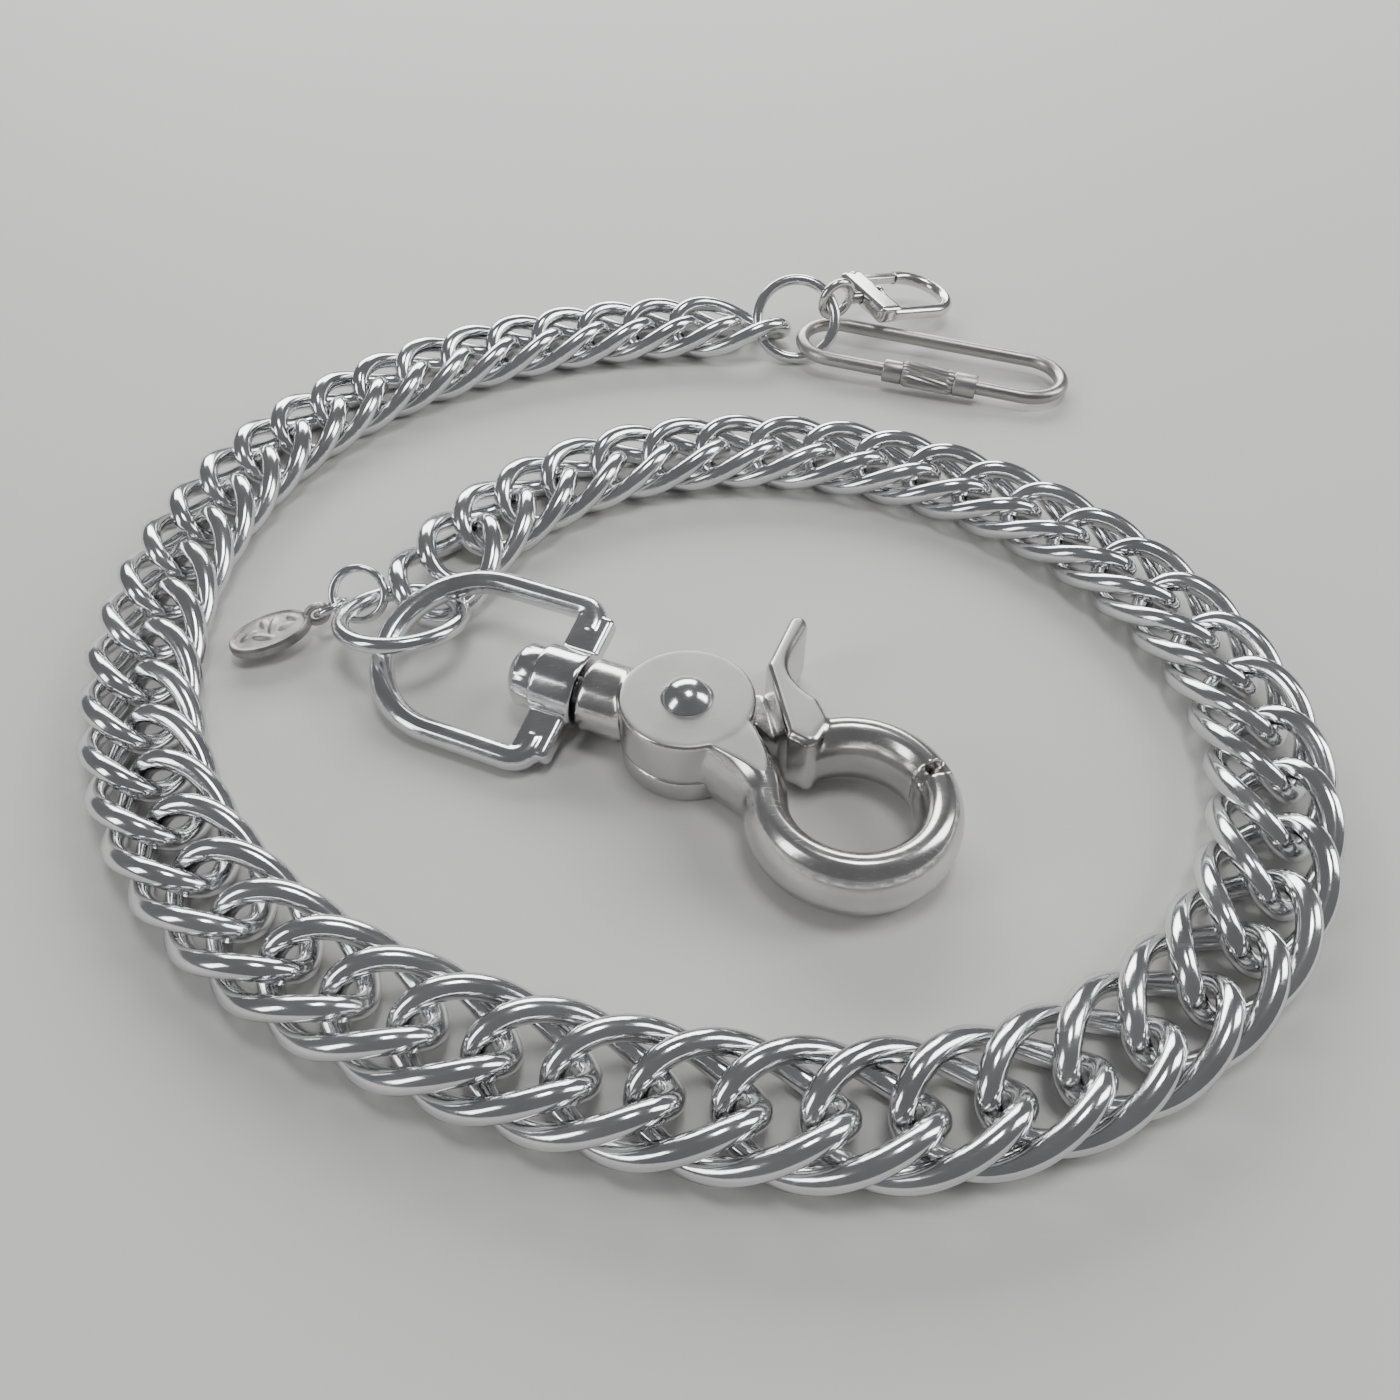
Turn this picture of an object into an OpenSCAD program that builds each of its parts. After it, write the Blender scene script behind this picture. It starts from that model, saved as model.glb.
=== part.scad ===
// Wallet chain: trigger snap, D-ring, double-curb chain, charm, end ring, small clip and screw link.
// Millimetres, +Z up, lying flat on Z = 0. The origin is under the middle of the bounding box.

/* [Chain] */
// Distance along the chain from one link's centre to the next
pitch = 7.0; // [6.96:0.02:7.04]
// Thickness of the link wire
wire = 2.3; // [2.1:0.05:2.3]
// Outside length of a link
link_len = 19.2; // [19.1:0.05:19.3]
// Outside width of a link
link_w = 12.6; // [12.4:0.1:12.8]
// Twist of each end of a link out of the link's middle plane
twist = 46; // [44:1:50]

/* [Trigger snap] */
// Thickness of the cast snap
snap_t = 8.4; // [8:0.1:9]
// Radius of the round head
head_r = 7.0; // [6.8:0.1:7.2]
// Radius inside the hook's ring
eye_r = 6.1; // [5.8:0.1:6.3]
// Width of the hook's arm
arm_w = 4.5; // [4.2:0.1:4.8]

/* [D-ring] */
// Half of the distance between the middles of the D-ring's sides
d_half = 9.7; // [9.6:0.1:9.8]
// Thickness of the D-ring's bow
d_wire = 2.8; // [2.6:0.1:2.8]

/* [Rings] */
// Radius of the connector ring, to the middle of its wire
conn_r = 6.7; // [6.65:0.05:6.75]
// Thickness of the connector ring's wire
conn_wire = 1.9; // [1.8:0.1:1.9]
// Radius of the end ring, to the middle of its wire
end_r = 5.9; // [5.85:0.05:6.0]
// Thickness of the end ring's wire
end_wire = 1.6; // [1.5:0.1:1.6]

/* [Small clip] */
// Distance between the middles of the clip's two sides
clip_w = 10.4; // [10.2:0.1:10.6]
// Thickness of the clip's wire
clip_wire = 2.0; // [1.8:0.1:2.0]

/* [Screw link] */
// Outside length of the screw link
screw_len = 41; // [40:0.5:42]
// Distance between the middles of the screw link's two sides
screw_w = 10.6; // [10.2:0.1:11]
// Thickness of the screw link's wire
screw_wire = 2.0; // [1.9:0.1:2.1]

/* [Hidden] */
$fn = 48;
links = 59;
pairs = ceil(links / 2);
link_rings = 16;
link_sides = 6;
link_z = 3.15;

// Middle of the laid-out chain, which becomes the origin.
middle = [1.2, 2.65, 0.03];

// The chain's route from the connector ring: a start, a heading, and the turn at each link of ten arcs.
route_start = [-26.6, 3.2];
route_heading = 71;
arcs = [[5, -11.5], [5, -8], [6, -7.5], [6, -10], [6, -8.5], [6, -4], [6, -7], [6, -6], [6, -7.5], [6, -5.5]];

// The snap's own frame: origin on the rivet, +X from the D-ring to the hook.
snap_at = [2.2, -23.4];
snap_heading = -23;
snap_mid = snap_t / 2;
eye_c = [19.2, -4.3];
eye_mid = eye_r + arm_w / 2;
eye_out = eye_r + arm_w;
seam_z = 2.8;
gap = 0.12;
arm_z = 0.8;
tip_a = 37;
tip_lap = 9;
rivet_r = 2.0;
rivet_head_r = 2.7;
neck_r = 4.0;
neck_x = -11.2;
heel_d = 8.9;
heel_a = 33;

post_r = 1.75;
hub_r = 4.15;
hub_x = -11.7;
hub_len = 5.0;
d_roll = 16;
d_bar_x = hub_x - hub_len / 2;
d_leg = 11.8;

function chain_name(n) = str("chain_", n < 10 ? "0" : "", n);

// ---- helpers -------------------------------------------------------------------------------------------

function along(a, b, t) = a * (1 - t) + b * t;
function bezier(p, t) = along(along(along(p[0], p[1], t), along(p[1], p[2], t), t),
  along(along(p[1], p[2], t), along(p[2], p[3], t), t), t);
function bezier_line(p, n) = [for (i = [0:n]) bezier(p, i / n)];
function polar(c, r, a) = [c[0] + r * cos(a), c[1] + r * sin(a)];
function arc_line(c, r, a0, a1, n) = [for (i = [0:n]) polar(c, r, a0 + (a1 - a0) * i / n)];

// A bar section with its corners cut, drawn round the origin.
module cut_section(w, t, cut) {
  polygon([[w / 2, t / 2 - cut], [w / 2 - cut, t / 2], [cut - w / 2, t / 2], [-w / 2, t / 2 - cut],
    [-w / 2, cut - t / 2], [cut - w / 2, -t / 2], [w / 2 - cut, -t / 2], [w / 2, cut - t / 2]]);
}

module torus(r, wire_r) {
  rotate_extrude() translate([r, 0]) circle(r = wire_r);
}

module rod_x(x0, x1, r) {
  translate([x0, 0, 0]) rotate([0, 90, 0]) cylinder(r = r, h = x1 - x0);
}

// ---- chain ---------------------------------------------------------------------------------------------

function turn_after(i, k = 0) = k == len(arcs) - 1 || i < arcs[k][0] ? arcs[k][1]
  : turn_after(i - arcs[k][0], k + 1);
function heading(i) = i == 0 ? route_heading : heading(i - 1) + turn_after(i - 1);
function link_xy(i) = i == 0 ? route_start
  : link_xy(i - 1) + pitch * [cos(heading(i - 1) + turn_after(i - 1) / 2),
    sin(heading(i - 1) + turn_after(i - 1) / 2)];

// The middle of the wire of one link: an ellipse whose two ends are twisted opposite ways.
link_a = (link_len - wire) / 2;
link_b = (link_w - wire) / 2;
function wire_mid(t) = let (s = -twist * cos(t))
  [link_a * cos(t), link_b * sin(t) * cos(s), link_b * sin(t) * sin(s)];
function unit(v) = v / norm(v);
function wire_ring(t) = let (c = wire_mid(t), ahead = unit(wire_mid(t + 1) - wire_mid(t - 1)),
  out = unit(c - ahead * (c * ahead)), side = cross(ahead, out))
  [for (j = [0:link_sides - 1]) c + wire / 2 * (cos(360 * j / link_sides) * out
    + sin(360 * j / link_sides) * side)];

module curb_link() {
  points = [for (i = [0:link_rings - 1]) each wire_ring(360 * i / link_rings)];
  total = link_rings * link_sides;
  faces = [for (i = [0:link_rings - 1]) for (j = [0:link_sides - 1])
    let (a = i * link_sides + j, b = i * link_sides + (j + 1) % link_sides,
      c = (b + link_sides) % total, d = (a + link_sides) % total)
    each [[a, c, b], [a, d, c]]];
  polyhedron(points = points, faces = faces, convexity = 4);
}

module place_link(i) {
  translate([link_xy(i)[0], link_xy(i)[1], link_z] - middle) rotate([0, 0, heading(i)]) curb_link();
}

// Two neighbouring links ride together; the last node is the single end link.
module chain_pair(n) {
  color(n % 2 == 0 ? "silver" : "gainsboro")
    for (i = [2 * n - 2 : min(2 * n - 1, links - 1)]) place_link(i);
}

// ---- trigger snap --------------------------------------------------------------------------------------

module place_snap() {
  translate([snap_at[0], snap_at[1], 0] - middle) rotate([0, 0, snap_heading]) children();
}

module place_post() {
  place_snap() translate([0, 0, snap_mid]) children();
}

// The eye's ring from angle a0 to a1.
module eye_arc(a0, a1, t = 7.4, cut = 1.4) {
  translate([eye_c[0], eye_c[1], snap_mid]) rotate([0, 0, a0]) rotate_extrude(angle = a1 - a0)
    translate([eye_mid, 0]) cut_section(arm_w, t, cut);
}

module arm_outline() {
  polygon(concat(
    bezier_line([[2.4, -6.5], [5.2, -5.7], [8.3, -6.9], polar(eye_c, eye_out - 0.4, 214)], 10),
    [polar(eye_c, eye_mid, 206)],
    bezier_line([polar(eye_c, eye_r + 0.2, 193), [12.4, -3.6], [8.5, -1.1], [6.0, 3.3]], 10)));
}

module hook_body() {
  color("lightsteelblue") place_snap() difference() {
    union() {
      translate([0, 0, seam_z]) cylinder(r = head_r, h = snap_t - seam_z);
      translate([0, 0, snap_mid]) rod_x(neck_x, -5.2, neck_r);
      translate([0, 0, arm_z]) linear_extrude(snap_t - arm_z) arm_outline();
      eye_arc(200, 360 + tip_a - 3);
      // the tongue that the gate closes over
      translate([eye_c[0], eye_c[1], snap_mid - 2.2]) rotate([0, 0, tip_a - 6])
        rotate_extrude(angle = 6 + tip_lap) translate([eye_r + 0.3, 0]) square([1.7, 4.4]);
    }
    // room for the gate's hub and web under the head
    translate([0, 0, -1]) cylinder(r = head_r + 0.3, h = seam_z + 1 + gap);
    translate([0, 0, -1]) cylinder(r = rivet_r, h = snap_t + 2);
    // spring pocket and the slot for its fixed leg
    translate([0, 0, seam_z - 1]) difference() {
      cylinder(r = 4.6, h = 2.6);
      translate([0, 0, -1]) cylinder(r = 2.6, h = 5);
    }
    translate([-6.2, -0.45, seam_z]) cube([3, 0.9, 1.5]);
    translate([0, 0, snap_mid]) rod_x(neck_x - 1, -7.1, post_r);
  }
}

// The lever, gate and heel, seen from above.
module gate_outline() {
  heel_u = [cos(heel_a), sin(heel_a)];
  heel_v = [-sin(heel_a), cos(heel_a)];
  polygon(concat(
    [heel_d * heel_u - 6.6 * heel_v, heel_d * heel_u + 3.4 * heel_v],
    [[5.4, 15.4], [6.4, 16.1], [7.6, 15.7]],
    bezier_line([[7.5, 11.5], [7.3, 7.8], [9.2, 6.2], [13.0, 6.0]], 8),
    arc_line(eye_c, eye_out + 0.2, 116, tip_a + tip_lap, 12),
    arc_line(eye_c, eye_r, tip_a + tip_lap, 150, 14)));
}

module gate_lever() {
  color("lightskyblue") place_snap() difference() {
    union() {
      translate([0, 0, 0.5]) linear_extrude(snap_t - 0.5) gate_outline();
      // hub under the head, and the web from it to the heel
      cylinder(r = head_r - 0.1, h = seam_z);
      linear_extrude(seam_z) polygon([[0, 6.6], [5.2, 8.4], [10.4, 1.6], [6.3, 3.9], [5, 4.2]]);
      // the outer lip over the hook's tongue
      translate([eye_c[0], eye_c[1], snap_mid - 3.2]) rotate([0, 0, tip_a]) rotate_extrude(angle = tip_lap + 2)
        translate([eye_r + 2.25, 0]) square([2.3, 6.4]);
    }
    translate([0, 0, -1]) cylinder(r = rivet_r + 0.06, h = seam_z + 2);
    translate([0, 0, -1]) cylinder(r = rivet_head_r + 0.15, h = 1.8);
    // the arc-shaped slot for the spring's moving leg
    translate([0, 0, seam_z - 1.1]) rotate([0, 0, 140]) rotate_extrude(angle = 66)
      translate([3.2, 0]) square([1.2, 2]);
  }
}

module pivot_rivet() {
  color("white") place_snap() {
    translate([0, 0, 0.1]) cylinder(r = rivet_r - 0.04, h = snap_t);
    translate([0, 0, 0.1]) cylinder(r = rivet_head_r, h = 0.65);
    translate([0, 0, snap_t]) intersection() {
      cylinder(r = rivet_head_r, h = 1.7);
      translate([0, 0, -1.45]) sphere(r = 3.1);
    }
  }
}

// A flat double coil round the rivet with one leg to the body and one to the lever.
module gate_spring() {
  color("dimgray") place_snap() {
    translate([0, 0, seam_z + 0.45]) torus(3.4, 0.3);
    translate([0, 0, seam_z + 0.95]) torus(3.4, 0.3);
    translate([-5.6, 0, seam_z + 0.95]) rotate([0, 90, 0]) cylinder(r = 0.28, h = 2.4);
    translate([-3.7, 0, seam_z - 0.8]) cylinder(r = 0.28, h = 1.3);
  }
}

module swivel_post() {
  head_x = hub_x - hub_len - 0.15;
  color("gainsboro") place_post() {
    rod_x(head_x - 0.1, -7.2, post_r - 0.05);
    intersection() {
      rod_x(head_x - 3.4, head_x, 3.5);
      translate([head_x + 0.6, 0, 0]) sphere(r = 4.3);
    }
  }
}

// ---- D-ring --------------------------------------------------------------------------------------------

module d_ring() {
  bar = [4.4, 2 * d_half + 2.6, 2.3];
  color("lightgray") place_post() rotate([d_roll, 0, 0]) difference() {
    union() {
      rod_x(hub_x - hub_len, hub_x, hub_r);
      // bar on both sides of the hub, as wide as the hub is long
      translate([d_bar_x, 0, 0] - bar / 2) cube(bar);
      for (s = [-1, 1]) translate([d_bar_x + 0.7, s * d_half, 0]) rotate([0, -90, 0])
        cylinder(r = d_wire / 2, h = d_leg + 0.7);
      translate([d_bar_x - d_leg, 0, 0]) rotate([0, 0, 90]) rotate_extrude(angle = 180)
        translate([d_half, 0]) circle(r = d_wire / 2);
    }
    rod_x(hub_x - hub_len - 1, hub_x + 1, post_r + 0.08);
  }
}

// ---- rings and charm -----------------------------------------------------------------------------------

// Places and turns are set so that each ring hangs in its neighbour with daylight all round.
conn_c = [-30.05, -7.5, 4.6] - middle;
conn_turn = [-15, 0, 2];
tag_ring_c = [-35.8, -3.15, 4.3] - middle;
tag_ring_turn = [47, 0, 0];
tag_link_c = [-39.1, -4.05, 3.1] - middle;
tag_link_turn = [-35, 0, 47];
tag_c = [-45.45, -7.45, 2.15] - middle;
tag_turn = [0, -4, 31];
end_c = [18.15, 59.35, 5.2] - middle;
end_turn = [46.5, 0, -3];

module connector_ring() {
  color("silver") translate(conn_c) rotate(conn_turn) torus(conn_r, conn_wire / 2);
}

// A split ring: two turns of wire pressed together.
module tag_ring() {
  color("darkgray") translate(tag_ring_c) rotate(tag_ring_turn) rotate_extrude() translate([3.0, 0]) {
    translate([0, 0.38]) circle(r = 0.44);
    translate([0, -0.38]) circle(r = 0.44);
  }
}

module tag_link() {
  color("silver") translate(tag_link_c) rotate(tag_link_turn) torus(1.8, 0.42);
}

module tag_plate() {
  tag_a = 4.7;
  tag_b = 2.9;
  module oval(a, b) {
    polygon([for (i = [0:35]) [a * cos(10 * i), b * sin(10 * i)]]);
  }
  color("gainsboro") translate(tag_c) rotate(tag_turn) {
    translate([0, 0, -0.7]) linear_extrude(1.2) oval(tag_a, tag_b);
    translate([0, 0, 0.4]) linear_extrude(0.3) difference() {
      oval(tag_a, tag_b);
      oval(tag_a - 0.5, tag_b - 0.5);
    }
    // plain raised waves in place of the worn picture
    for (x = [-2.2, -0.4, 1.4]) translate([x, 0, 0.4]) linear_extrude(0.25) difference() {
      circle(r = 1.5);
      translate([0.6, 0]) circle(r = 1.5);
    }
    translate([tag_a + 0.9, 0, 0]) rotate([90, 0, 0]) torus(1.2, 0.42);
  }
}

module end_ring() {
  color("silver") translate(end_c) rotate(end_turn) torus(end_r, end_wire / 2);
}

// ---- small clip ----------------------------------------------------------------------------------------

clip_c = [29.8, 64.85, 5.95] - middle;
clip_turn = [6, 12, 31.4];
clip_half = clip_w / 2;
clip_reach = 9.4;
clip_bar = [4.2, clip_w + 1.2, 2.6];
clip_gate_end = 8.8;

module place_clip() {
  translate(clip_c) rotate(clip_turn) children();
}

module clip_eye() {
  color("silver") place_clip() {
    rod_x(-4.2, 1.9, 0.9);
    translate([1.2, 0, 0]) rod_x(0, 0.7, 1.6);
    translate([-6.6, 0, 0]) rotate([90, 0, 0]) torus(2.6, 0.7);
  }
}

module clip_body() {
  color("lightgray") place_clip() difference() {
    union() {
      translate(-clip_bar / 2) cube(clip_bar);
      translate([1.5, -clip_half, 0]) rod_x(0, clip_reach - 1.5, clip_wire / 2);
      translate([clip_reach, 0, 0]) rotate([0, 0, -90]) rotate_extrude(angle = 180)
        translate([clip_half, 0]) circle(r = clip_wire / 2);
    }
    // bore and counterbore for the swivel eye
    rod_x(-3, 3, 1.0);
    translate([1.0, 0, 0]) rod_x(0, 3, 1.75);
    // slot for the gate's root, and the bore of its pin
    translate([-1.2, clip_half - 2.5, -0.75]) cube([4, 4.5, 1.5]);
    translate([0, clip_half - 0.1, -2]) cylinder(r = 0.5, h = 4);
    // step that the gate's end rests in
    translate([clip_gate_end - 2, clip_half - 1.2, -0.75]) cube([2 + gap, 2.4, 3]);
  }
}

module clip_gate() {
  color("white") place_clip() difference() {
    union() {
      translate([0, clip_half - 0.1, -0.65]) cylinder(r = 0.95, h = 1.3);
      translate([0, clip_half - 0.85, -0.65]) cube([clip_gate_end - gap, 1.5, 1.3]);
    }
    translate([0, clip_half - 0.1, -2]) cylinder(r = 0.5, h = 4);
  }
}

module clip_pin() {
  color("gray") place_clip() translate([0, clip_half - 0.1, -1.35]) cylinder(r = 0.44, h = 2.75);
}

// ---- screw link ----------------------------------------------------------------------------------------

screw_c = [37.9, 52.4, 2.35] - middle;
screw_turn = [0, 2, -17.7];
screw_half = screw_w / 2;
screw_x = (screw_len - screw_wire) / 2 - screw_half;
screw_gap = [0.6, 4.4];
sleeve_x = -6;
sleeve_len = 13.8;
sleeve_r = 1.8;

module place_screw() {
  translate(screw_c) rotate(screw_turn) children();
}

module screw_frame() {
  color("darkgray") place_screw() {
    translate([0, screw_half, 0]) rod_x(-screw_x, screw_x, screw_wire / 2);
    for (s = [-1, 1]) translate([s * screw_x, 0, 0]) rotate([0, 0, -90 * s]) rotate_extrude(angle = 180)
      translate([screw_half, 0]) circle(r = screw_wire / 2);
    // the side with the gap that the sleeve closes
    translate([0, -screw_half, 0]) {
      rod_x(-screw_x, screw_gap[0], screw_wire / 2);
      rod_x(screw_gap[1], screw_x, screw_wire / 2);
    }
  }
}

module screw_sleeve() {
  knurl_x = [2.9, 10.4];
  color("gray") place_screw() translate([sleeve_x, -screw_half, 0]) difference() {
    union() {
      rod_x(0, knurl_x[0], sleeve_r - 0.15);
      rod_x(knurl_x[0], knurl_x[1], sleeve_r);
      rod_x(knurl_x[1], sleeve_len, sleeve_r - 0.1);
    }
    rod_x(-1, sleeve_len + 1, screw_wire / 2 + 0.06);
  }
}

hook_body();
gate_lever();
pivot_rivet();
gate_spring();
swivel_post();
d_ring();
connector_ring();
tag_ring();
tag_link();
tag_plate();
end_ring();
clip_eye();
clip_body();
clip_gate();
clip_pin();
screw_frame();
screw_sleeve();
for (n = [1:pairs]) chain_pair(n);
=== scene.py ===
import math
import bpy
from mathutils import Euler, Matrix, Vector


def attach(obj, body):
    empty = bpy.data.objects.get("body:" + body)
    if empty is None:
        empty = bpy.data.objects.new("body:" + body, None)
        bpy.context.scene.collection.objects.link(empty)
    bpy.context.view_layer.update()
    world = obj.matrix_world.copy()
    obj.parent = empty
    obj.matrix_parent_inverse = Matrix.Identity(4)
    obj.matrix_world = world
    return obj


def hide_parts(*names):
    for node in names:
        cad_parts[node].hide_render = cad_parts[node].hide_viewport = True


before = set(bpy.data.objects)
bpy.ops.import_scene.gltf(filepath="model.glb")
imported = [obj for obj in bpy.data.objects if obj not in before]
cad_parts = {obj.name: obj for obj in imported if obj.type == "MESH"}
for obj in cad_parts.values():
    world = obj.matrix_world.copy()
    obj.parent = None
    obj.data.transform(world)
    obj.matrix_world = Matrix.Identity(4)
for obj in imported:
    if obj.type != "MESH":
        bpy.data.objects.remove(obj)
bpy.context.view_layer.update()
print("frame loaded", len(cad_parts))

mm = 0.001
middle = Vector((1.2, 2.65, 0.03))


# ---- small helpers ----

def fresh(operator, **settings):
    bpy.ops.object.select_all(action="DESELECT")
    operator(**settings)
    return bpy.context.object


def only(*pieces):
    bpy.ops.object.select_all(action="DESELECT")
    for piece in pieces:
        piece.select_set(True)
    bpy.context.view_layer.objects.active = pieces[0]


def settle(piece):
    only(piece)
    bpy.ops.object.transform_apply(location=True, rotation=True, scale=True)


def joined(*pieces):
    only(*pieces)
    bpy.ops.object.join()
    return pieces[0]


def modified(piece, kind, **settings):
    only(piece)
    modifier = piece.modifiers.new(kind.lower(), kind)
    for key, value in settings.items():
        setattr(modifier, key, value)
    bpy.ops.object.modifier_apply(modifier=modifier.name)


def cut(piece, tool):
    modified(piece, "BOOLEAN", operation="DIFFERENCE", object=tool, solver="EXACT")
    bpy.data.objects.remove(tool)


def rounded(piece, width, steps=3, angle=35, clamp=True):
    modified(piece, "BEVEL", width=width, segments=steps, limit_method="ANGLE",
             angle_limit=math.radians(angle), use_clamp_overlap=clamp)


def smooth(piece, angle=40):
    only(piece)
    bpy.ops.object.shade_smooth_by_angle(angle=math.radians(angle))


def moulded(piece, voxel, passes):
    modified(piece, "REMESH", mode="VOXEL", voxel_size=voxel)
    modified(piece, "SMOOTH", factor=0.5, iterations=passes)
    only(piece)
    bpy.ops.object.shade_smooth()


def cylinder(radius, depth, at=(0, 0, 0), axis="Z", sides=64):
    turn = {"X": (0, math.pi / 2, 0), "Y": (math.pi / 2, 0, 0), "Z": (0, 0, 0)}[axis]
    piece = fresh(bpy.ops.mesh.primitive_cylinder_add, radius=radius, depth=depth, vertices=sides,
                  location=at, rotation=turn)
    settle(piece)
    return piece


def block(size, at=(0, 0, 0), turn=0):
    piece = fresh(bpy.ops.mesh.primitive_cube_add, size=1, location=at, rotation=(0, 0, math.radians(turn)))
    piece.scale = size
    settle(piece)
    return piece


def ball(radius, at=(0, 0, 0)):
    piece = fresh(bpy.ops.mesh.primitive_uv_sphere_add, radius=radius, segments=48, ring_count=24,
                  location=at)
    settle(piece)
    return piece


def hoop(radius, wire, at=(0, 0, 0), turn=(0, 0, 0), steps=96, sides=20):
    piece = fresh(bpy.ops.mesh.primitive_torus_add, major_radius=radius, minor_radius=wire,
                  major_segments=steps, minor_segments=sides, location=at,
                  rotation=[math.radians(a) for a in turn])
    settle(piece)
    return piece


def wirePath(points, wire, closed=False, sides=6, widths=None):
    data = bpy.data.curves.new("path", "CURVE")
    data.dimensions = "3D"
    line = data.splines.new("POLY")
    line.points.add(len(points) - 1)
    for i, (spot, point) in enumerate(zip(line.points, points)):
        spot.co = (*point, 1)
        spot.radius = widths[i] / wire if widths else 1
    line.use_cyclic_u = closed
    data.bevel_depth = wire
    data.bevel_resolution = sides
    data.use_fill_caps = not closed
    piece = bpy.data.objects.new("path", data)
    bpy.context.collection.objects.link(piece)
    only(piece)
    bpy.ops.object.convert(target="MESH")
    return bpy.context.object


def plate(points, bottom, top):
    data = bpy.data.meshes.new("plate")
    data.from_pydata([(x, y, bottom) for x, y in points], [], [list(range(len(points)))])
    piece = bpy.data.objects.new("plate", data)
    bpy.context.collection.objects.link(piece)
    only(piece)
    bpy.ops.object.mode_set(mode="EDIT")
    bpy.ops.mesh.select_all(action="SELECT")
    bpy.ops.mesh.normals_make_consistent()
    bpy.ops.mesh.extrude_region_move(TRANSFORM_OT_translate={"value": (0, 0, top - bottom)})
    bpy.ops.mesh.select_all(action="SELECT")
    bpy.ops.mesh.normals_make_consistent()
    bpy.ops.object.mode_set(mode="OBJECT")
    return piece


def bezier(a, b, c, d, steps):
    return [tuple((1 - t) ** 3 * p + 3 * (1 - t) ** 2 * t * q + 3 * (1 - t) * t * t * r + t ** 3 * s
                  for p, q, r, s in zip(a, b, c, d)) for t in (i / steps for i in range(steps + 1))]


def polar(centre, radius, angle):
    return (centre[0] + radius * math.cos(math.radians(angle)),
            centre[1] + radius * math.sin(math.radians(angle)))


def arc(centre, radius, start, stop, steps):
    return [polar(centre, radius, start + (stop - start) * i / steps) for i in range(steps + 1)]


def placed(piece, at, turn=(0, 0, 0)):
    settle(piece)
    turned = Euler([math.radians(a) for a in turn]).to_matrix().to_4x4()
    spot = Matrix.Translation(Vector(at) - middle) @ turned
    piece.data.transform(Matrix.Scale(mm, 4) @ spot)
    piece.data.update()
    return piece


def finished(piece, name, body, slot, material, *nodes):
    piece.name = name
    piece.data.name = name
    piece.data.materials.clear()
    piece.data.materials.append(material)
    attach(piece, body)
    if nodes:
        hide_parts(*nodes)
    return piece


# ---- materials ----

def metal(name, colour, rough, wear=0.05, scratches=0.15, grain=0.0, dark=None, cast=0.0, satinShadeTopZ=None):
    material = bpy.data.materials.new(name)
    material.use_nodes = True
    nodes, links = material.node_tree.nodes, material.node_tree.links
    shader = nodes["Principled BSDF"]
    shader.inputs["Metallic"].default_value = 1.0
    place = nodes.new("ShaderNodeTexCoord")

    def noise(scale, detail, stretch=(1, 1, 1)):
        mapping = nodes.new("ShaderNodeMapping")
        mapping.inputs["Scale"].default_value = stretch
        texture = nodes.new("ShaderNodeTexNoise")
        texture.inputs["Scale"].default_value = scale
        texture.inputs["Detail"].default_value = detail
        links.new(place.outputs["Object"], mapping.inputs["Vector"])
        links.new(mapping.outputs["Vector"], texture.inputs["Vector"])
        return texture.outputs["Fac"]

    def spread(value, fromLow, fromHigh, toLow, toHigh):
        node = nodes.new("ShaderNodeMapRange")
        node.inputs["From Min"].default_value = fromLow
        node.inputs["From Max"].default_value = fromHigh
        node.inputs["To Min"].default_value = toLow
        node.inputs["To Max"].default_value = toHigh
        links.new(value, node.inputs["Value"])
        return node.outputs["Result"]

    def math2(operation, first, second):
        node = nodes.new("ShaderNodeMath")
        node.operation = operation
        for socket, value in zip(node.inputs, (first, second)):
            if isinstance(value, (int, float)):
                socket.default_value = value
            else:
                links.new(value, socket)
        return node.outputs[0]

    patches = noise(140, 4)
    fine = noise(2600, 3)
    lines = noise(900, 5, (1, 9, 1))
    colours = nodes.new("ShaderNodeValToRGB")
    shade = dark or [c * 0.86 for c in colour]
    colours.color_ramp.elements[0].position = 0.35
    colours.color_ramp.elements[0].color = (*shade, 1)
    colours.color_ramp.elements[1].position = 0.62
    colours.color_ramp.elements[1].color = (*colour, 1)
    links.new(patches, colours.inputs["Fac"])
    links.new(colours.outputs["Color"], shader.inputs["Base Color"])
    roughness = math2("ADD", spread(patches, 0.3, 0.7, rough, rough + wear),
                      spread(lines, 0.52, 0.75, 0, scratches))
    if grain:
        roughness = math2("ADD", roughness, spread(fine, 0.3, 0.7, 0, grain))
    # painted shade: near the flat top face (object Z just under this height) the base colour is multiplied
    # by 0.52 grey so the top mirrors the lamps less brightly; the added roughness there is the real satin
    # finish
    if satinShadeTopZ:
        split = nodes.new("ShaderNodeSeparateXYZ")
        links.new(place.outputs["Object"], split.inputs[0])
        flat = spread(split.outputs["Z"], (satinShadeTopZ - 0.12) * mm, (satinShadeTopZ - 0.03) * mm, 0, 1)
        roughness = math2("ADD", roughness, math2("MULTIPLY", flat, 0.26))
        paintedTopShade = nodes.new("ShaderNodeMix")
        paintedTopShade.data_type = "RGBA"
        paintedTopShade.blend_type = "MULTIPLY"
        paintedTopShade.inputs["B"].default_value = (0.52, 0.52, 0.52, 1)
        links.new(flat, paintedTopShade.inputs["Factor"])
        links.new(colours.outputs["Color"], paintedTopShade.inputs["A"])
        links.new(paintedTopShade.outputs["Result"], shader.inputs["Base Color"])
    links.new(roughness, shader.inputs["Roughness"])
    bump = nodes.new("ShaderNodeBump")
    bump.inputs["Strength"].default_value = 0.12 + cast
    bump.inputs["Distance"].default_value = 0.00004
    relief = math2("ADD", math2("MULTIPLY", fine, 0.4 + cast), math2("MULTIPLY", lines, 0.6))
    links.new(relief, bump.inputs["Height"])
    links.new(bump.outputs["Normal"], shader.inputs["Normal"])
    return material


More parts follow.
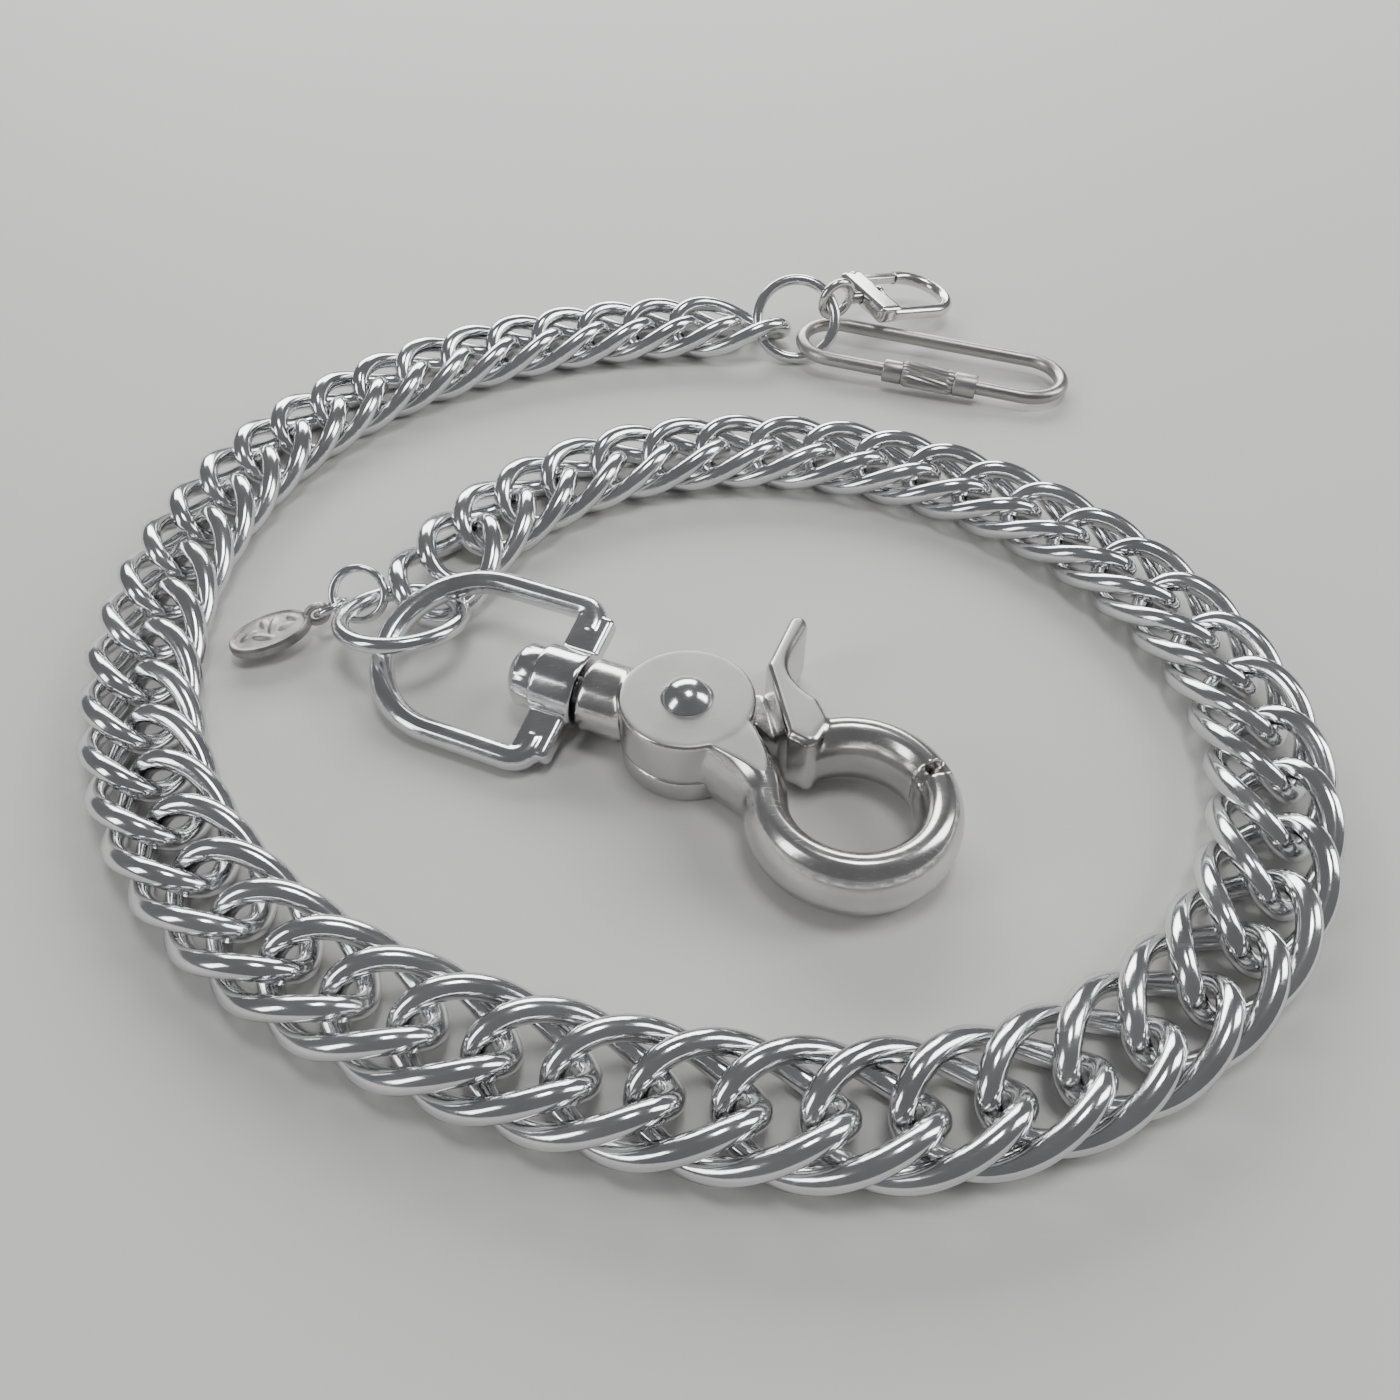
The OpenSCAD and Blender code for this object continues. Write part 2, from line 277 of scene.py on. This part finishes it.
chainMetal = metal("chainSteel", (0.78, 0.785, 0.79), 0.10, 0.05, 0.10)
ringMetal = metal("ringSteel", (0.72, 0.725, 0.73), 0.11, 0.06, 0.12)
# snap steel with painted shade darkening its flat top face at Z 8.37 mm, plus a rougher satin top
snapMetal = metal("snapSteel", (0.665, 0.655, 0.645), 0.16, 0.07, 0.10, satinShadeTopZ=8.37)
clipMetal = metal("clipNickel", (0.74, 0.735, 0.72), 0.14, 0.06, 0.12)
satinMetal = metal("satinNickel", (0.45, 0.44, 0.42), 0.27, 0.08, 0.12, grain=0.08)
pewterMetal = metal("pewter", (0.52, 0.51, 0.49), 0.30, 0.12, 0.1, grain=0.12,
                    dark=(0.15, 0.147, 0.143), cast=0.6)
springMetal = metal("springSteel", (0.35, 0.355, 0.36), 0.25, 0.08, 0.1)
print("materials made")

# ---- chain ----

chain = {"length": 19.2, "width": 12.6, "wire": 2.3, "twist": 46, "pitch": 7.0, "height": 3.15, "count": 59}
arcs = [(5, -11.5), (5, -8), (6, -7.5), (6, -10), (6, -8.5), (6, -4), (6, -7), (6, -6), (6, -7.5), (6, -5.5)]
turns = [turn for count, turn in arcs for _ in range(count)]


def linkMesh():
    a = (chain["length"] - chain["wire"]) / 2
    b = (chain["width"] - chain["wire"]) / 2
    points = []
    for i in range(80):
        t = math.radians(i * 4.5)
        s = math.radians(-chain["twist"] * math.cos(t))
        points.append((a * math.cos(t), b * math.sin(t) * math.cos(s), b * math.sin(t) * math.sin(s)))
    piece = wirePath(points, chain["wire"] / 2, closed=True, sides=4)
    only(piece)
    bpy.ops.object.shade_smooth()
    return piece


pattern = linkMesh()
x, y, heading = -26.6, 3.2, 71.0
pairs = {}
for i in range(chain["count"]):
    link = pattern.copy()
    link.data = pattern.data.copy()
    bpy.context.collection.objects.link(link)
    placed(link, (x, y, chain["height"]), (0, 0, heading))
    pairs.setdefault(i // 2 + 1, []).append(link)
    turn = turns[min(i, len(turns) - 1)]
    x += chain["pitch"] * math.cos(math.radians(heading + turn / 2))
    y += chain["pitch"] * math.sin(math.radians(heading + turn / 2))
    heading += turn
bpy.data.objects.remove(pattern)
for number, links in pairs.items():
    name = f"chain_{number:02d}"
    finished(joined(*links), f"links_{number:02d}", name, "chain_steel", chainMetal, name)
print("chain made", len(pairs))

# ---- trigger snap ----

snap = {"at": (2.2, -23.4, 0), "turn": (0, 0, -23), "thick": 8.4, "mid": 4.2, "head": 7.0, "seam": 2.8}
eye = {"c": (19.2, -4.3), "inner": 6.1, "middle": 8.35, "wide": 4.5, "tall": 7.8}


def eyeArc(start, stop, wide, tall, steps=40, lead=(), leadWidths=()):
    spine = list(lead) + arc(eye["c"], eye["middle"], start, stop, steps)
    widths = list(leadWidths) + [wide / 2] * (steps + 1)
    piece = wirePath([(x, y, 0) for x, y in spine], wide / 2, sides=9, widths=widths)
    piece.scale = (1, 1, tall / wide)
    piece.location = (0, 0, snap["mid"])
    settle(piece)
    slab = block((80, 80, snap["thick"] - 0.3), (0, 0, (snap["thick"] + 0.22) / 2))
    modified(piece, "BOOLEAN", operation="INTERSECT", object=slab, solver="EXACT")
    bpy.data.objects.remove(slab)
    return piece


def hookBody():
    head = cylinder(snap["head"], snap["thick"] - snap["seam"],
                    (0, 0, (snap["thick"] + snap["seam"]) / 2), sides=96)
    rounded(head, 0.35, 2)
    neck = cylinder(4.0, 6.0, (-8.2, 0, snap["mid"]), "X")
    rounded(neck, 0.4, 2)
    join, steps = 203, 20
    lead = bezier((2.6, -1.2), (6.6, -3.2), (10.3, -4.8), polar(eye["c"], eye["middle"], join), steps)[:-1]
    swell = [eye["wide"] / 2 + 2.1 * (1 - i / steps) ** 1.6 for i in range(steps)]
    arm = eyeArc(join, 396, eye["wide"], eye["tall"], 48, lead, swell)
    tongue = block((1.9, 2.2, 4.2), (*polar(eye["c"], 7.2, 39), snap["mid"]), 39)
    body = head
    for part in (neck, arm, tongue):
        modified(body, "BOOLEAN", operation="UNION", object=part, solver="EXACT")
        bpy.data.objects.remove(part)
    cut(body, cylinder(snap["head"] + 0.3, 4, (0, 0, snap["seam"] + 0.12 - 2)))
    moulded(body, 0.17, 12)
    cut(body, cylinder(2.0, 20))
    cut(body, cylinder(1.75, 8, (-11.1, 0, snap["mid"]), "X"))
    smooth(body, 35)
    return body


def gateLever():
    heel, side = 8.9, math.radians(33)
    u, v = (math.cos(side), math.sin(side)), (-math.sin(side), math.cos(side))
    outline = [(heel * u[0] + k * v[0], heel * u[1] + k * v[1]) for k in (-6.6, 3.4)]
    outline += [(5.4, 15.4), (5.8, 15.95), (6.6, 16.15), (7.6, 15.7)]
    outline += bezier((7.5, 11.5), (7.3, 7.8), (9.2, 6.2), (12.2, 5.2), 8)
    outline += [polar(eye["c"], eye["middle"], 124), polar(eye["c"], eye["inner"] + 0.5, 140)]
    outline += [polar(eye["c"], eye["inner"] + 0.1, 150)]
    lever = plate(outline, 0.5, snap["thick"])
    rounded(lever, 0.9, 4, 50, clamp=False)
    bar = eyeArc(46, 146, eye["wide"], eye["tall"])
    hub = cylinder(snap["head"] - 0.1, snap["seam"], (0, 0, snap["seam"] / 2), sides=96)
    rounded(hub, 0.3, 2)
    web = plate([(0, 6.6), (5.2, 8.4), (10.4, 1.6), (6.3, 3.9), (5, 4.2)], 0.05, snap["seam"])
    lip = eyeArc(37, 48, 2.2, 6.0, 8)
    lip.data.transform(Matrix.Translation((*polar((0, 0), 1.15, 42), 0)))
    for part in (bar, hub, web, lip):
        modified(lever, "BOOLEAN", operation="UNION", object=part, solver="EXACT")
        bpy.data.objects.remove(part)
    moulded(lever, 0.17, 9)
    cut(lever, cylinder(2.06, 20))
    cut(lever, cylinder(2.85, 2, (0, 0, -0.2)))
    smooth(lever, 35)
    return lever


def rivet():
    dome = ball(3.1, (0, 0, snap["thick"] - 1.45))
    keep = cylinder(2.7, 4, (0, 0, snap["thick"] + 2))
    modified(dome, "BOOLEAN", operation="INTERSECT", object=keep, solver="EXACT")
    bpy.data.objects.remove(keep)
    shank = cylinder(1.96, snap["thick"], (0, 0, snap["thick"] / 2 + 0.1))
    tail = cylinder(2.7, 0.65, (0, 0, 0.43))
    rounded(tail, 0.15, 2)
    piece = joined(dome, shank, tail)
    rounded(piece, 0.12, 2)
    smooth(piece)
    return piece


hook = finished(placed(hookBody(), snap["at"], snap["turn"]), "snapBody", "hook", "snap_steel",
                snapMetal, "hook_body")
print("hook body made", len(hook.data.polygons))
finished(placed(gateLever(), snap["at"], snap["turn"]), "snapGate", "gate", "snap_steel",
         snapMetal, "gate_lever")
finished(placed(rivet(), snap["at"], snap["turn"]), "snapRivet", "hook", "snap_steel",
         ringMetal, "pivot_rivet")

hub = {"x": -11.7, "length": 5.0, "radius": 4.15, "post": 1.75}


def swivelPost():
    headX = hub["x"] - hub["length"] - 0.15
    shank = cylinder(hub["post"] - 0.05, -7.2 - headX, ((headX - 7.2) / 2, 0, 0), "X")
    dome = ball(4.3, (headX + 0.6, 0, 0))
    keep = cylinder(3.5, 3.4, (headX - 1.7, 0, 0), "X")
    modified(dome, "BOOLEAN", operation="INTERSECT", object=keep, solver="EXACT")
    bpy.data.objects.remove(keep)
    piece = joined(dome, shank)
    rounded(piece, 0.3, 3)
    smooth(piece)
    return piece


def dRing():
    half, wire, leg, roll = 9.7, 1.4, 11.8, 16
    barX = hub["x"] - hub["length"] / 2
    sleeve = cylinder(hub["radius"], hub["length"], (barX, 0, 0), "X", 96)
    rounded(sleeve, 0.35, 3)
    corner = 2.2
    bar = block((4.4, 2 * half - 1.4, 2.3), (barX, 0, 0))
    rounded(bar, 0.7, 4)
    spine = [(barX, 3 - half, 0)]
    spine += [(*polar((barX - corner, corner - half), corner, a), 0) for a in range(0, -91, -15)]
    spine += [(barX - leg * k / 12, -half, 0) for k in range(3, 12)]
    spine += [(barX - leg + half * math.cos(math.radians(a)), half * math.sin(math.radians(a)), 0)
              for a in range(-90, -271, -6)]
    spine += [(barX - leg * k / 12, half, 0) for k in range(11, 2, -1)]
    spine += [(*polar((barX - corner, half - corner), corner, a), 0) for a in range(90, -1, -15)]
    spine += [(barX, half - 3, 0)]
    bow = wirePath(spine, wire, sides=6)
    for part in (bar, bow):
        modified(sleeve, "BOOLEAN", operation="UNION", object=part, solver="EXACT")
        bpy.data.objects.remove(part)
    moulded(sleeve, 0.14, 9)
    cut(sleeve, cylinder(hub["post"] + 0.08, 9, (barX, 0, 0), "X"))
    sleeve.rotation_euler = (math.radians(roll), 0, 0)
    settle(sleeve)
    smooth(sleeve, 35)
    return sleeve


postAt = (snap["at"][0], snap["at"][1], snap["mid"])
finished(placed(swivelPost(), postAt, snap["turn"]), "swivelPin", "hook", "ring_steel",
         ringMetal, "swivel_post")
finished(placed(dRing(), postAt, snap["turn"]), "dRing", "d_ring", "ring_steel", ringMetal, "d_ring")
print("snap and D-ring made")

# ---- rings and charm ----

def jumpRing(radius, wire, seamAngle):
    ring = hoop(radius, wire, steps=144, sides=24)
    cut(ring, block((wire * 3, 0.08, wire * 3), polar((0, 0), radius, seamAngle) + (0,), seamAngle))
    smooth(ring)
    return ring


def splitRing(radius, wire, rise):
    steps = 150
    points = []
    for i in range(steps + 1):
        t = i / steps
        a = math.radians(720 * t + 30)
        lift = (t - 0.5) * 2
        lift = max(-1, min(1, lift * 6)) if abs(lift) < 1 / 6 else math.copysign(1, lift)
        points.append((radius * math.cos(a), radius * math.sin(a), lift * rise))
    piece = wirePath(points, wire, sides=5)
    smooth(piece)
    return piece


finished(placed(jumpRing(6.7, 0.95, 40), (-30.05, -7.5, 4.6), (-15, 0, 2)),
         "connectorRing", "connector", "ring_steel", ringMetal, "connector_ring")
finished(placed(splitRing(3.0, 0.44, 0.38), (-35.8, -3.15, 4.3), (47, 0, 0)),
         "charmSplitRing", "tag_ring", "ring_steel", ringMetal, "tag_ring")
finished(placed(jumpRing(1.8, 0.42, 200), (-39.1, -4.05, 3.1), (-35, 0, 47)),
         "charmLink", "tag_link", "ring_steel", ringMetal, "tag_link")
finished(placed(jumpRing(5.9, 0.8, 300), (18.15, 59.35, 5.2), (46.5, 0, -3)),
         "endRing", "end_ring", "ring_steel", ringMetal, "end_ring")


def charm():
    disc = cylinder(1, 1.15, (0, 0, -0.1), sides=72)
    disc.scale = (4.7, 2.9, 1)
    settle(disc)
    rounded(disc, 0.25, 3)
    rim = hoop(1, 0.05, steps=96, sides=10)
    rim.scale = (4.4, 2.6, 5)
    rim.location = (0, 0, 0.42)
    settle(rim)
    petals = ((-2.3, 0.4, 20, 1.1), (-0.9, -0.7, -35, 1.3), (0.6, 0.5, 60, 1.4),
              (1.9, -0.4, 10, 1.0), (2.9, 0.5, -50, 0.7), (-0.2, 1.3, 80, 0.7))
    for x, y, turn, size in petals:  # a plain leaf pattern in low relief
        petal = ball(1, (x, y, 0.42))
        petal.data.transform(Matrix.Translation((x, y, 0.42)) @ Matrix.Rotation(math.radians(turn), 4, "Z")
                             @ Matrix.Diagonal((size, 0.42, 0.3, 1)) @ Matrix.Translation((-x, -y, -0.42)))
        joined(rim, petal)
    loop = hoop(1.2, 0.42, (5.6, 0, 0), (90, 0, 0), 48, 16)
    for part in (rim, loop):
        joined(disc, part)
    moulded(disc, 0.09, 2)
    return disc


finished(placed(charm(), (-45.45, -7.45, 2.15), (0, -4, 31)), "charm", "tag", "pewter",
         pewterMetal, "tag_plate")
print("rings and charm made")

# ---- small clip ----

clip = {"at": (29.8, 64.85, 5.95), "turn": (6, 12, 31.4), "half": 5.2, "reach": 9.4, "wire": 1.0}


def clipBody():
    half, reach, wire = clip["half"], clip["reach"], clip["wire"]
    bar = block((4.2, 2 * half + 1.2, 2.6))
    rounded(bar, 0.7, 5)
    spine = [(0.5 + (reach - 0.5) * k / 10, -half, 0) for k in range(11)]
    spine += [(reach + half * math.cos(math.radians(a)), half * math.sin(math.radians(a)), 0)
              for a in range(-84, 91, 6)]
    spine += [(8.4, half, 0)]
    bow = wirePath(spine, wire, sides=6)
    modified(bar, "BOOLEAN", operation="UNION", object=bow, solver="EXACT")
    bpy.data.objects.remove(bow)
    moulded(bar, 0.11, 4)
    cut(bar, cylinder(1.0, 8, (0, 0, 0), "X", 32))
    cut(bar, cylinder(1.75, 3, (2.5, 0, 0), "X", 32))
    cut(bar, block((4, 4.5, 1.5), (0.8, half - 0.25, 0)))
    cut(bar, block((2.1, 2.4, 3), (7.86, half, 0.75)))
    smooth(bar, 35)
    return bar


def clipEye():
    ring = hoop(2.6, 0.7, (-6.6, 0, 0), (90, 0, 0), 72, 18)
    shank = cylinder(0.9, 6.1, (-1.15, 0, 0), "X", 32)
    head = cylinder(1.6, 0.7, (1.55, 0, 0), "X", 32)
    rounded(head, 0.2, 3)
    modified(ring, "BOOLEAN", operation="UNION", object=shank, solver="EXACT")
    bpy.data.objects.remove(shank)
    piece = joined(ring, head)
    smooth(piece)
    return piece


def clipGate():
    half = clip["half"]
    strip = block((8.6, 1.5, 1.3), (4.35, half - 0.1, 0))
    rounded(strip, 0.35, 4)
    root = cylinder(0.95, 1.3, (0, half - 0.1, 0), sides=32)
    rounded(root, 0.15, 2)
    modified(strip, "BOOLEAN", operation="UNION", object=root, solver="EXACT")
    bpy.data.objects.remove(root)
    cut(strip, cylinder(0.5, 4, (0, half - 0.1, 0), sides=24))
    smooth(strip)
    return strip


def clipPin():
    pin = cylinder(0.44, 2.75, (0, clip["half"] - 0.1, 0.03), sides=24)
    rounded(pin, 0.12, 3)
    smooth(pin)
    return pin


clipPieces = ((clipBody, "clipFrame", "clip", "clip_body"), (clipEye, "clipEye", "clip_eye", "clip_eye"),
              (clipGate, "clipLatch", "clip_gate", "clip_gate"), (clipPin, "clipPin", "clip", "clip_pin"))
for build, name, body, node in clipPieces:
    finished(placed(build(), clip["at"], clip["turn"]), name, body, "clip_nickel", clipMetal, node)
print("clip made")

# ---- screw link ----

screw = {"at": (37.9, 52.4, 2.35), "turn": (0, 2, -17.7), "half": 5.3, "x": 14.2, "wire": 1.0,
         "gap": (0.6, 4.4)}


def screwFrame():
    half, reach = screw["half"], screw["x"]
    spine = [(screw["gap"][1] + (reach - screw["gap"][1]) * k / 8, -half, 0) for k in range(9)]
    spine += [(reach + half * math.cos(math.radians(a)), half * math.sin(math.radians(a)), 0)
              for a in range(-84, 91, 6)]
    spine += [(reach - 2 * reach * k / 20, half, 0) for k in range(1, 21)]
    spine += [(-reach - half * math.cos(math.radians(a)), half * math.sin(math.radians(a)), 0)
              for a in range(84, -91, -6)]
    spine += [(-reach + (reach + screw["gap"][0]) * k / 10, -half, 0) for k in range(1, 11)]
    piece = wirePath(spine, screw["wire"], sides=6)
    smooth(piece)
    return piece


def screwSleeve():
    start, knurl, length, radius = -6.0, (2.9, 10.4), 13.8, 1.8
    ridges, rows, depth, lean = 22, 14, 0.2, 0.5
    verts, faces = [], []
    for r in range(rows + 1):
        x = start + knurl[0] + (knurl[1] - knurl[0]) * r / rows
        for k in range(ridges * 2):
            ridge = radius - depth + depth * (k % 2) * (0 < r < rows)
            a = math.pi * k / ridges + lean * r / rows
            verts.append((x, ridge * math.cos(a), ridge * math.sin(a)))
    ring = ridges * 2
    for r in range(rows):
        for k in range(ring):
            a, b = r * ring + k, r * ring + (k + 1) % ring
            faces.append((a, a + ring, b + ring, b))
    faces += [tuple(range(ring)), tuple(reversed(range(rows * ring, rows * ring + ring)))]
    data = bpy.data.meshes.new("knurl")
    data.from_pydata(verts, [], faces)
    nut = bpy.data.objects.new("knurl", data)
    bpy.context.collection.objects.link(nut)
    left = cylinder(radius - 0.15, knurl[0] - 0.02, (start + knurl[0] / 2, 0, 0), "X")
    right = cylinder(radius - 0.1, length - knurl[1] - 0.02, (start + (knurl[1] + length) / 2, 0, 0), "X")
    for collar in (left, right):
        rounded(collar, 0.25, 4)
    piece = joined(nut, left, right)
    piece.data.transform(Matrix.Translation((0, -screw["half"], 0)))
    cut(piece, cylinder(screw["wire"] + 0.06, 30, (0, -screw["half"], 0), "X", 32))
    smooth(piece, 50)
    return piece


finished(placed(screwFrame(), screw["at"], screw["turn"]), "screwFrame", "screw", "satin_nickel",
         satinMetal, "screw_frame")
finished(placed(screwSleeve(), screw["at"], screw["turn"]), "screwSleeve", "nut", "satin_nickel",
         satinMetal, "screw_sleeve")
print("screw link made")

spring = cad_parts["gate_spring"]
spring.data.materials.clear()
spring.data.materials.append(springMetal)

# ---- floor, light and camera ----

floor = fresh(bpy.ops.mesh.primitive_plane_add, size=6)
settle(floor)
floor.name = "floor"
paper = bpy.data.materials.new("paper")
paper.use_nodes = True
paperShader = paper.node_tree.nodes["Principled BSDF"]
paperShader.inputs["Base Color"].default_value = (0.62, 0.61, 0.60, 1)
paperShader.inputs["Roughness"].default_value = 0.7
floor.data.materials.append(paper)

world = bpy.data.worlds.new("studio")
world.use_nodes = True
world.node_tree.nodes["Background"].inputs["Color"].default_value = (0.34, 0.345, 0.355, 1)
world.node_tree.nodes["Background"].inputs["Strength"].default_value = 0.5
bpy.context.scene.world = world

lamps = (("window", (-0.1, 0.8, 0.42), (0.9, 0.42), 9.0), ("side", (0.75, 0.1, 0.5), (0.3, 0.6), 4.0),
         ("fill", (-0.7, -0.3, 0.45), (0.25, 0.5), 2.2), ("top", (0.1, 0.05, 0.9), (0.25, 0.25), 2.5))
for name, spot, size, power in lamps:
    data = bpy.data.lights.new(name, "AREA")
    data.shape = "RECTANGLE"
    data.size, data.size_y = size
    data.energy = power
    lamp = bpy.data.objects.new(name, data)
    lamp.location = spot
    lamp.rotation_euler = (-Vector(spot)).to_track_quat("-Z", "Y").to_euler()
    bpy.context.collection.objects.link(lamp)

view = bpy.data.cameras.new("camera")
view.sensor_width = 36
view.lens = 29.57
view.clip_start, view.clip_end = 0.01, 20
camera = bpy.data.objects.new("camera", view)
camera.location = (Vector((3.5, -103.5, 91.66)) - middle) * mm
camera.rotation_euler = (math.radians(43.7), 0, 0)
bpy.context.collection.objects.link(camera)
bpy.context.scene.camera = camera
